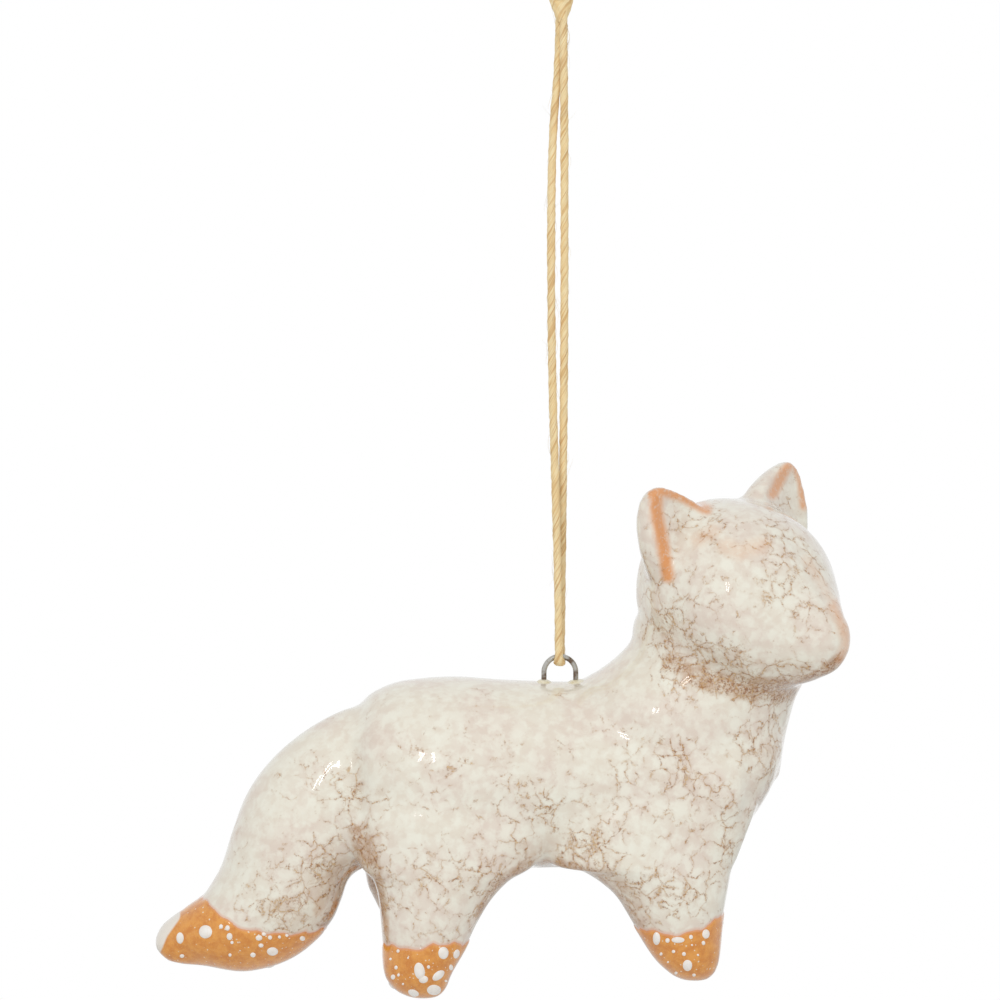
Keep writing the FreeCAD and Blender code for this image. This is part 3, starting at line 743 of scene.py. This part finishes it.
def fused_mesh(forms):
    """One closed skin round all the forms, in millimetres."""
    points, faces = [], []
    for rings in forms:
        faces += tube_grid(len(rings), RING_SIDES, offset=len(points))
        points += [tuple(point) for points_of_ring in rings for point in points_of_ring]
    mesh = bpy.data.meshes.new("clay")
    mesh.from_pydata(points, [], faces)
    mesh.update()
    clay = linked("clay", mesh)
    modifier = clay.modifiers.new("skin", "REMESH")
    modifier.mode = "VOXEL"
    modifier.voxel_size = SKIN_VOXEL
    return evaluated_mesh(clay)


def mesh_arrays(mesh):
    points = np.empty(len(mesh.vertices) * 3)
    mesh.vertices.foreach_get("co", points)
    edges = np.empty(len(mesh.edges) * 2, int)
    mesh.edges.foreach_get("vertices", edges)
    return points.reshape(-1, 3), edges.reshape(-1, 2)


def averaged(values, edges):
    """Each point's value replaced by the mean of its neighbours'."""
    count = len(values)
    ends = np.r_[edges[:, 0], edges[:, 1]]
    others = np.r_[edges[:, 1], edges[:, 0]]
    degree = np.maximum(np.bincount(ends, minlength=count), 1)
    if values.ndim == 1:
        return np.bincount(ends, weights=values[others], minlength=count) / degree
    columns = [np.bincount(ends, weights=column[others], minlength=count) for column in values.T]
    return np.stack(columns, 1) / degree[:, None]


def relaxed(points, edges, rounds, shrink=0.52, grow=-0.53):
    """Points smoothed without losing the size of the form."""
    for _ in range(rounds):
        points = points + shrink * (averaged(points, edges) - points)
        points = points + grow * (averaged(points, edges) - points)
    return points


# Where amber meets cream on the hind legs, front legs and tail: places along the fox and heights
HIND_EDGE = ([-27.0, -21.5, -19.0, -12.0], [-133.6, -133.5, -133.0, -133.3])
FRONT_EDGE = ([12.0, 15.8, 18.9, 22.7], [-131.5, -132.0, -131.2, -129.6])
TAIL_EDGE = ([-51.4, -50.0, -48.8, -45.5, -43.0, -36.0], [-128.0, -129.6, -130.1, -131.8, -132.2, -132.4])
TAIL_PART = -30.0


def dip_depth(points):
    """How far below the edge of the amber each point lies, in millimetres; negative above it."""
    x, y, z = points.T
    hind, front, tail = (np.interp(x, *edge) for edge in (HIND_EDGE, FRONT_EDGE, TAIL_EDGE))
    edge = np.where(x < TAIL_PART, tail, np.where(x < 0, hind, front))
    wobble = (0.22 * np.sin(1.5 * x + 0.9 * y) + 0.16 * np.sin(2.3 * y - 1.1 * x + 2.0)
              + 0.07 * np.sin(3.1 * x + 2.7 * y))
    return edge + wobble - z


# Strokes seen in the photograph: pixels of a line, half width in pixels and strength
# Brown glaze that gathers thickly, which also paints shade under the jaw, in the belly's arch and in the
# tail's crotch
BROWN_AND_SHADE_STROKES = [
    ([(482, 912), (500, 884), (526, 868), (560, 864), (592, 874), (624, 905), (642, 934)], 7, 1.2),
    ([(520, 855), (560, 848), (605, 862)], 22, 0.40),
    ([(600, 872), (620, 895), (642, 930)], 16, 0.65),
    ([(356, 832), (362, 858), (352, 876), (340, 905), (325, 925)], 7, 1.25),
    ([(290, 915), (320, 892), (338, 868)], 24, 0.45),
    ([(366, 830), (374, 868), (380, 900), (384, 940)], 7, 1.1),
    ([(392, 880), (440, 888), (470, 882)], 26, 0.24),
    ([(268, 905), (300, 922)], 10, 0.35),
    ([(650, 600), (662, 645), (690, 672)], 20, 0.34),
    ([(668, 664), (700, 674), (740, 682), (790, 686)], 8, 1.15),
    ([(740, 690), (796, 688), (816, 678), (838, 661)], 6, 1.7),
    ([(700, 655), (750, 668), (800, 672)], 16, 0.45),
    ([(690, 680), (740, 692), (792, 694)], 8, 1.2),
    ([(776, 745), (760, 795)], 14, 0.40),
    ([(660, 760), (700, 790), (690, 830)], 26, 0.28),
    ([(610, 800), (560, 830)], 26, 0.25),
    ([(380, 800), (372, 850)], 12, 0.45),
    ([(720, 850), (700, 900)], 18, 0.22),
    ([(690, 530), (715, 545)], 12, 0.30),
    ([(640, 560), (650, 590)], 10, 0.25),
    ([(540, 700), (620, 700)], 10, 0.20),
]
PEACH_STROKES = [
    ([(657, 495), (656, 508), (659, 525), (663, 545), (668, 576)], 6.0, 0.95),
    ([(652, 494), (664, 491), (680, 495), (706, 509)], 5.5, 0.9),
    ([(791, 462), (782, 476), (773, 494)], 5.0, 0.8),
    ([(795, 464), (801, 480), (804, 506)], 4.0, 0.75),
    ([(836, 606), (846, 626), (850, 644), (845, 660)], 8.0, 0.50),
    ([(806, 560), (822, 586), (836, 606)], 5.0, 0.22),
    ([(726, 546), (740, 552), (762, 545)], 8, 0.24),
    ([(698, 540), (714, 531)], 7, 0.20),
]
# The white end of the tail
TIP_STROKES = [([(154, 946), (160, 932), (172, 916)], 11, 1.0)]
# Creases pressed into the near side, with the depth in millimetres as strength; the last one is a ridge
CREASE_STROKES = [
    ([(792, 540), (806, 556), (820, 580), (832, 603), (840, 618)], 7, 0.30),
    ([(352, 745), (358, 790), (363, 850)], 8, 0.45),
    ([(322, 824), (331, 800), (341, 774)], 10, -0.50),
]


def stroke_weight(pixels, strokes, soft=False):
    """How strongly each pixel is touched by strokes; soft ones fade from the middle of the line."""
    total = np.zeros(len(pixels))
    for line, reach, strength in strokes:
        nearest = np.full(len(pixels), np.inf)
        for start, end in zip(line, line[1:]):
            start, end = np.array(start, float), np.array(end, float)
            span = end - start
            share = unit((pixels - start) @ span / (span @ span))
            gap = np.linalg.norm(pixels - (start + share[:, None] * span), axis=1)
            nearest = np.minimum(nearest, gap)
        touch = np.exp(-(nearest / reach) ** 2) if soft else unit(1.5 - nearest / reach)
        total = np.maximum(total, strength * touch)
    return total


def write_value(mesh, name, values):
    attribute = mesh.attributes.new(name, "FLOAT", "POINT")
    attribute.data.foreach_set("value", values.astype(np.float32))


def mesh_normals(mesh, points):
    """The mesh takes the points, and its normals are given back."""
    mesh.vertices.foreach_set("co", points.ravel())
    mesh.update()
    normals = np.empty(len(points) * 3)
    mesh.vertex_normals.foreach_get("vector", normals)
    return normals.reshape(-1, 3)


def fill_share(points):
    """How freely glaze and clay fill the hollows: less on the head, at the feet and along the back."""
    x, y, z = points.T
    head = unit((x - 8) / 6) * unit((z - (BACK - 4)) / 4)
    ears = unit((z - (BACK + 14)) / 4)
    feet = unit((BACK - 30 - z) / 6)
    ridge = unit(1 - np.abs(y) / 8) * unit((z - (BACK - 14)) / 5) * unit((14 - x) / 3)
    return unit(1 - 0.72 * head * (1 - ears) - 0.9 * feet - ridge)


def filled(mesh, points, edges, rounds=170, most=1.5):
    """Hollows between the forms filled into soft fillets; nothing is worn away."""
    share = fill_share(points)
    start = points.copy()
    for turn in range(rounds):
        if turn % 12 == 0:
            normals = mesh_normals(mesh, points)
        rise = ((averaged(points, edges) - points) * normals).sum(1)
        grown = ((points - start) * normals).sum(1)
        rise = np.where(grown < most, np.clip(rise - 0.0028, 0, None), 0) * share
        points = points + normals * rise[:, None]
    return relaxed(points, edges, 10)


def ray_surface(points, faces):
    return BVHTree.FromPolygons([tuple(point) for point in points], faces)


def mesh_faces(mesh):
    return [tuple(polygon.vertices) for polygon in mesh.polygons]


def in_sight(mesh, points, wanted):
    """1 for each wanted point that nothing hides from the photograph's view, and 0 for the others."""
    surface = ray_surface(points, mesh_faces(mesh))
    seen = np.zeros(len(points))
    for index in np.nonzero(wanted)[0]:
        away = Vector(points[index]) - eye_mm
        reach = surface.ray_cast(eye_mm, away.normalized())[3]
        seen[index] = reach is None or reach > away.length - 0.6
    return seen


# Surfaces whose normals point along the view by less than this count as facing the photograph
FACING_LIMIT = 0.25
# Places along the fox where the head starts and the bare back ends, and heights of the throat and belly
HEAD_START = 12
BACK_END = 14
THROAT_HEIGHT = BACK - 8
BELLY_HEIGHT = BACK - 36


def brown_and_shade_share(points, normals, edges, facing):
    """How much brown gathers, partly as painted shade: in hollows, along the strokes and underneath, and less
    on the back.
    """
    # brown gathers in hollows, and there it is partly painted shade
    broad = points
    for _ in range(60):
        broad = averaged(broad, edges)
    hollow = unit(((broad - points) * normals).sum(1) / 0.30)
    for _ in range(6):
        hollow = averaged(hollow, edges)
    # the body's far side takes the strokes of its near side
    near_side = points.copy()
    body = (points[:, 0] < HEAD_START) | (points[:, 2] < THROAT_HEIGHT)
    near_side[body, 1] = -np.abs(near_side[body, 1])
    brown_and_shade = np.maximum(0.6 * hollow, stroke_weight(to_pixels(near_side), BROWN_AND_SHADE_STROKES) * (body | facing))
    # surfaces facing down take more brown: partly brown glaze, partly painted shade
    below = np.clip(-normals[:, 2] - 0.35, 0, 0.65) / 0.65
    brown_and_shade = np.maximum(brown_and_shade, 0.55 * below * (points[:, 2] > BELLY_HEIGHT))
    above = np.clip(normals[:, 2] - 0.10, 0, 0.6) / 0.6
    return brown_and_shade - 0.5 * above * (points[:, 0] < BACK_END)


def make_skin(material):
    """The cream skin of the whole fox; returns the piece with its points, normals and amber depth."""
    mesh = fused_mesh(clay_forms())
    points, edges = mesh_arrays(mesh)
    points = filled(mesh, relaxed(points, edges, 10), edges)
    normals = mesh_normals(mesh, points)
    facing = (normals @ np.array(forward)) < FACING_LIMIT
    crease = stroke_weight(to_pixels(points), CREASE_STROKES, soft=True) * facing
    points = relaxed(points - normals * crease[:, None], edges, 4)
    normals = mesh_normals(mesh, points)
    peach = stroke_weight(to_pixels(points), PEACH_STROKES) * (facing & (points[:, 0] > HEAD_START))
    peach *= in_sight(mesh, points, peach > 0)
    dip = dip_depth(points)
    # brown glaze and painted shade, kept on the mesh for the cream glaze
    write_value(mesh, "brown_and_shade", brown_and_shade_share(points, normals, edges, facing))
    write_value(mesh, "peach", peach)
    write_value(mesh, "dip", dip)
    mesh.transform(Matrix.Scale(MM, 4))
    mesh.shade_smooth()
    mesh.materials.append(material)
    return linked("fox_skin", mesh), points, normals, dip


def make_dip(name, skin, points, normals, dip, chosen, material):
    """A coat of amber over part of the skin; beyond its edge it sinks under the cream."""
    used = np.nonzero(chosen & (dip > -1.2))[0]
    index = np.full(len(points), -1)
    index[used] = np.arange(len(used))
    corners = (index[list(face)] for face in mesh_faces(skin.data))
    faces = [tuple(int(corner) for corner in face) for face in corners if (face >= 0).all()]
    depth = dip[used]
    tip = stroke_weight(to_pixels(points[used]), TIP_STROKES, soft=True)
    rise = np.where(depth > 0, 0.20 * (1 - np.exp(-depth / 0.28)), depth * 0.5)
    rise = rise + 0.10 * unit(tip * 3 - 1.2)
    raised = points[used] + normals[used] * rise[:, None]
    coat = new_piece(name, raised * MM, faces, material)
    write_value(coat.data, "dip", depth)
    write_value(coat.data, "tip", tip)
    return coat, raised, normals[used], depth, faces


# White drops seen in the photograph: pixel of the middle, half sizes in pixels and any tilt in degrees
TAIL_DROPS = [
    (205.5, 931.8, 7, 7), (180, 938, 4, 6), (221, 926.5, 2.2, 2.5), (227.5, 928, 2.5, 3),
    (229.5, 936.5, 3.2, 3.8), (232, 942.5, 1.8, 1.8), (259, 938, 3.6, 3), (264, 934, 2.4, 2.2),
    (270, 937.5, 2.4, 2.4), (279.5, 937, 1.8, 1.8), (287, 935.5, 1.8, 1.6), (261, 945.5, 2.8, 2.2),
    (272.5, 951.5, 6, 4.5), (253, 955, 3, 2.6), (302.5, 938.5, 3, 2.6), (230, 955, 1.8, 1.8),
    (182, 956, 2.6, 2),
]
HIND_DROPS = [
    (443.5, 953, 5.5, 6.5), (456.5, 954, 3.2, 5, 18), (419.5, 971, 5.6, 9, -10), (423.5, 979.5, 5, 4, -10),
    (438.5, 975.5, 7.5, 4.2, -38), (434, 990, 7.5, 5.5), (413.5, 993, 6, 3.6, 20), (424.5, 942.5, 3, 2.8),
    (398, 951, 1.8, 2), (390.5, 959, 1.3, 1.6), (396, 967.5, 1.8, 2.2), (393, 977, 2.4, 2.8),
    (398.5, 975, 1.5, 1.8), (428.5, 967, 1.8, 2), (420.5, 948, 1.3, 1.3), (451, 967.5, 2.2, 3.2),
    (408, 958, 1.1, 1.1), (403, 984, 1.2, 1.2), (446, 981, 1.6, 1.4),
]
FRONT_DROPS = [
    (656.5, 938.5, 4, 7), (667.5, 940.5, 2.4, 2.6), (678, 940, 7, 3.3), (691, 937, 2.2, 2.4),
    (706, 934, 4, 5), (703.5, 943, 2, 2.4), (673.5, 951.5, 2, 1.8), (684, 954, 2.2, 2.2),
    (687.5, 965.5, 5, 6), (661, 954, 1.6, 1.8), (676, 973, 1.8, 1.6), (694, 975, 2, 1.6),
    (698, 955, 1.3, 1.3), (692, 945, 1.2, 1.2), (668, 962, 1.1, 1.1),
]
# How far from the surface a drop's rays start, in millimetres
DROP_RAY = 8.0


def dome(surface, start, toward, first, second, height, points, faces):
    """A low drop on a surface, whose rim is where a slanted oval of rays from start meets it."""
    rings, sides = 7, 22
    base = len(points)
    for ring_number in range(rings + 1):
        share = ring_number / rings
        lift = height * (1 - share ** 2.6) - 0.05 * share ** 8
        for step in range(sides if ring_number else 1):
            turn = 2 * math.pi * step / sides
            offset = (first * math.cos(turn) + second * math.sin(turn)) * share
            place, normal, _, _ = surface.ray_cast(start + offset, toward)
            if place is None:
                place, normal, _, _ = surface.find_nearest(start + offset + toward * DROP_RAY)
            points.append(place + normal * lift)
    for step in range(sides):
        faces.append((base, base + 1 + step, base + 1 + (step + 1) % sides))
    for ring_number in range(rings - 1):
        inner = base + 1 + ring_number * sides
        for step in range(sides):
            beyond = (step + 1) % sides
            faces.append((inner + step, inner + sides + step, inner + sides + beyond, inner + beyond))


def seen_drops(surface, drops, points, faces):
    for x, y, half_width, half_height, *tilt in drops:
        origin, aim = pixel_ray(x, y)
        turn = Matrix.Rotation(math.radians(tilt[0] if tilt else 0), 3, forward)
        place, _, _, _ = surface.ray_cast(origin, aim)
        if place is None:
            place, _, _, _ = surface.find_nearest(origin + aim * (aim_mm - origin).dot(aim))
        scale = (place - origin).length / distance_mm * PIXEL_MM
        height = 0.10 + 0.16 * min(half_width, half_height) / 5
        first, second = turn @ right * half_width * scale, turn @ up * half_height * scale
        dome(surface, place - aim * DROP_RAY, aim, first, second, height, points, faces)


def hidden_drops(surface, coat_points, coat_normals, depth, count, draw, points, faces):
    """Drops of mixed sizes on the side that the photograph doesn't show."""
    away = (coat_normals @ np.array(forward) > 0.15) & (depth > 0.8)
    choices = np.nonzero(away)[0]
    taken = []
    for _ in range(count * 6):
        pick = int(choices[draw.randrange(len(choices))])
        place, normal = Vector(coat_points[pick]), Vector(coat_normals[pick])
        radius = draw.choice((0.16, 0.2, 0.28, 0.36, 0.55, 0.8))
        if any((place - other).length < radius + reach + 0.15 for other, reach in taken):
            continue
        if depth[pick] < radius + 0.25:
            continue
        taken.append((place, radius))
        first = normal.orthogonal().normalized()
        second = normal.cross(first)
        stretch = draw.uniform(0.8, 1.25)
        dome(surface, place + normal * DROP_RAY, -normal, first * radius * stretch, second * radius / stretch,
             0.10 + 0.18 * radius, points, faces)
        if len(taken) == count:
            return


def make_drops(name, coat_points, coat_normals, depth, coat_faces, drops, count, seed, material):
    surface = ray_surface(coat_points, coat_faces)
    points, faces = [], []
    seen_drops(surface, drops, points, faces)
    hidden_drops(surface, coat_points, coat_normals, depth, count, random.Random(seed), points, faces)
    return new_piece(name, [point * MM for point in points], faces, material)


def make_pools(skin_points, skin, material):
    """The small pools of glaze in which the legs of the wire eye stand."""
    surface = ray_surface(skin_points, mesh_faces(skin.data))
    points, faces = [], []
    for x, radius in ((-EYE_RADIUS, 1.15), (EYE_RADIUS, 1.3)):
        first, second = Vector((radius, 0, 0)), Vector((0, radius, 0))
        dome(surface, Vector((x, 0, BACK + 3)), Vector((0, 0, -1)), first, second, 0.42, points, faces)
    return new_piece("eye_pools", [point * MM for point in points], faces, material)


def make_lights():
    def area(name, place, aim, size, power, size_y=None, glossy=False):
        data = bpy.data.lights.new(name, "AREA")
        data.energy = power
        data.size = size
        if size_y:
            data.shape = "RECTANGLE"
            data.size_y = size_y
        lamp = linked(name, data)
        lamp.location = place
        lamp.rotation_mode = "QUATERNION"
        lamp.rotation_quaternion = (Vector(aim) - Vector(place)).to_track_quat("-Z", "Y")
        lamp.visible_glossy = glossy
    middle = (-0.01, 0, -0.105)
    area("key", (-0.30, -0.70, 0.60), middle, 0.55, 3.6)
    area("fill", (0.75, -0.65, 0.10), middle, 0.60, 1.2)
    area("strip_left", (-0.240, -0.60, 0.22), middle, 0.014, 0.075, 0.13, glossy=True)
    area("strip_right", (-0.200, -0.62, 0.22), middle, 0.014, 0.075, 0.13, glossy=True)


# How white the world is as light on the surfaces and in their reflections; the camera sees 1
AMBIENT_WHITE = 0.52
REFLECTED_WHITE = 0.9
FLOOR_HEIGHT = -0.215
FLOOR_HALF = 0.30


def make_world():
    """White all round for what the camera and the reflections see, softer light on the surfaces."""
    world = bpy.data.worlds.new("studio")
    world.use_nodes = True
    nodes, links = world.node_tree.nodes, world.node_tree.links
    background = nodes["Background"]
    background.inputs["Color"].default_value = (1, 1, 1, 1)
    path = nodes.new("ShaderNodeLightPath").outputs

    def joined(operation, first, second):
        node = nodes.new("ShaderNodeMath")
        node.operation = operation
        links.new(first, node.inputs[0])
        if isinstance(second, float):
            node.inputs[1].default_value = second
        else:
            links.new(second, node.inputs[1])
        return node.outputs[0]
    seen = joined("MAXIMUM", path["Is Camera Ray"], path["Is Transmission Ray"])
    reflected = joined("MULTIPLY", path["Is Glossy Ray"], REFLECTED_WHITE)
    strength = joined("MAXIMUM", joined("MAXIMUM", seen, reflected), AMBIENT_WHITE)
    links.new(strength, background.inputs["Strength"])
    bpy.context.scene.world = world


def make_floor():
    s = Shader("studio_floor")
    tone = s.noise(s.millimetres(), 0.01)
    s.finish(s.mix(tone, linear(244, 244, 243), linear(247, 247, 246)), 0.85)
    low, half = FLOOR_HEIGHT, FLOOR_HALF
    corners = [(-half, -half, low), (half, -half, low), (half, half, low), (-half, half, low)]
    new_piece("floor", corners, [(0, 1, 2, 3)], s.material, smooth=False)


# The height below which amber glaze can lie, in millimetres
FOOT_TOP = -120


def declare(piece, body, slot, *nodes):
    """Lets a piece ride on a body and hides the CAD nodes that it stands for. The slot argument is not used.
    """
    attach(piece, body)
    if nodes:
        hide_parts(*nodes)


make_camera()
bpy.context.scene.view_settings.view_transform = "Standard"
fibre = twine_fibre("twine_fibre", linear(255, 236, 190), linear(246, 212, 152), linear(214, 168, 106))
pale_fibre = twine_fibre("pale_fibre", linear(255, 242, 208), linear(252, 230, 184), linear(240, 208, 154))
twine, twine_path = make_twine(fibre)
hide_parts("twine_left_strand", "twine_right_strand", "twine_bight")

cream = cream_glaze()
amber = amber_glaze()
white = white_glaze("white_glaze", linear(248, 240, 230), linear(253, 249, 243))
pool_glaze = white_glaze("pool_glaze", linear(232, 222, 190), linear(240, 234, 212))
skin, points, normals, dip = make_skin(cream)
declare(skin, "fox", "cream_glaze", "ceramic_casting")
declare(make_pools(points, skin, pool_glaze), "fox", "cream_glaze")
x, y, z = points.T
low = z < FOOT_TOP
hind, front = low & (x > TAIL_PART) & (x < 0), low & (x > 0)
# Which points each coat takes, the drops seen on it and how many are added where the photograph doesn't show
coats = {
    "hind_left": (hind & (y > 0), [], 26),
    "hind_right": (hind & (y < 0), HIND_DROPS, 14),
    "front_left": (front & (y > 0), [], 26),
    "front_right": (front & (y < 0), FRONT_DROPS, 14),
    "tail": (low & (x < TAIL_PART), TAIL_DROPS, 26),
}
for number, (name, (chosen, drops, hidden)) in enumerate(coats.items()):
    coat, *form = make_dip(f"dip_{name}", skin, points, normals, dip, chosen, amber)
    declare(coat, "fox", "amber_glaze", f"amber_glaze_{name}")
    declare(make_drops(f"drops_{name}", *form, drops, hidden, number, white), "fox", "cream_glaze")

metal = wire_metal()
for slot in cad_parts["wire_eye"].material_slots:
    slot.material = metal
strays = make_fibres("stray_fibres", [twine_path], 150, pale_fibre, 5)
knot_pieces = make_knot(fibre) + [make_crossing_fibres(pale_fibre)]
for piece in knot_pieces:
    declare(piece, "hanger", "twine", "twine_knot")
ends = make_cut_ends(fibre)
for name, piece, _ in ends:
    declare(piece, "hanger", "twine", f"twine_end_{name}")
frayed = make_fibres("frayed_ends", [path[-14:] for _, _, path in ends], 60, pale_fibre, 8, longest=0.0014)
declare(frayed, "hanger", "twine")
knot_pieces += [piece for _, piece, _ in ends] + [frayed]

make_lights()
make_world()
make_floor()
length = float(np.linalg.norm(np.diff(twine_path, axis=0), axis=1).sum())
for piece in (twine, strays):
    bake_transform(piece)
tuple(TWINE_ROUTE[0])
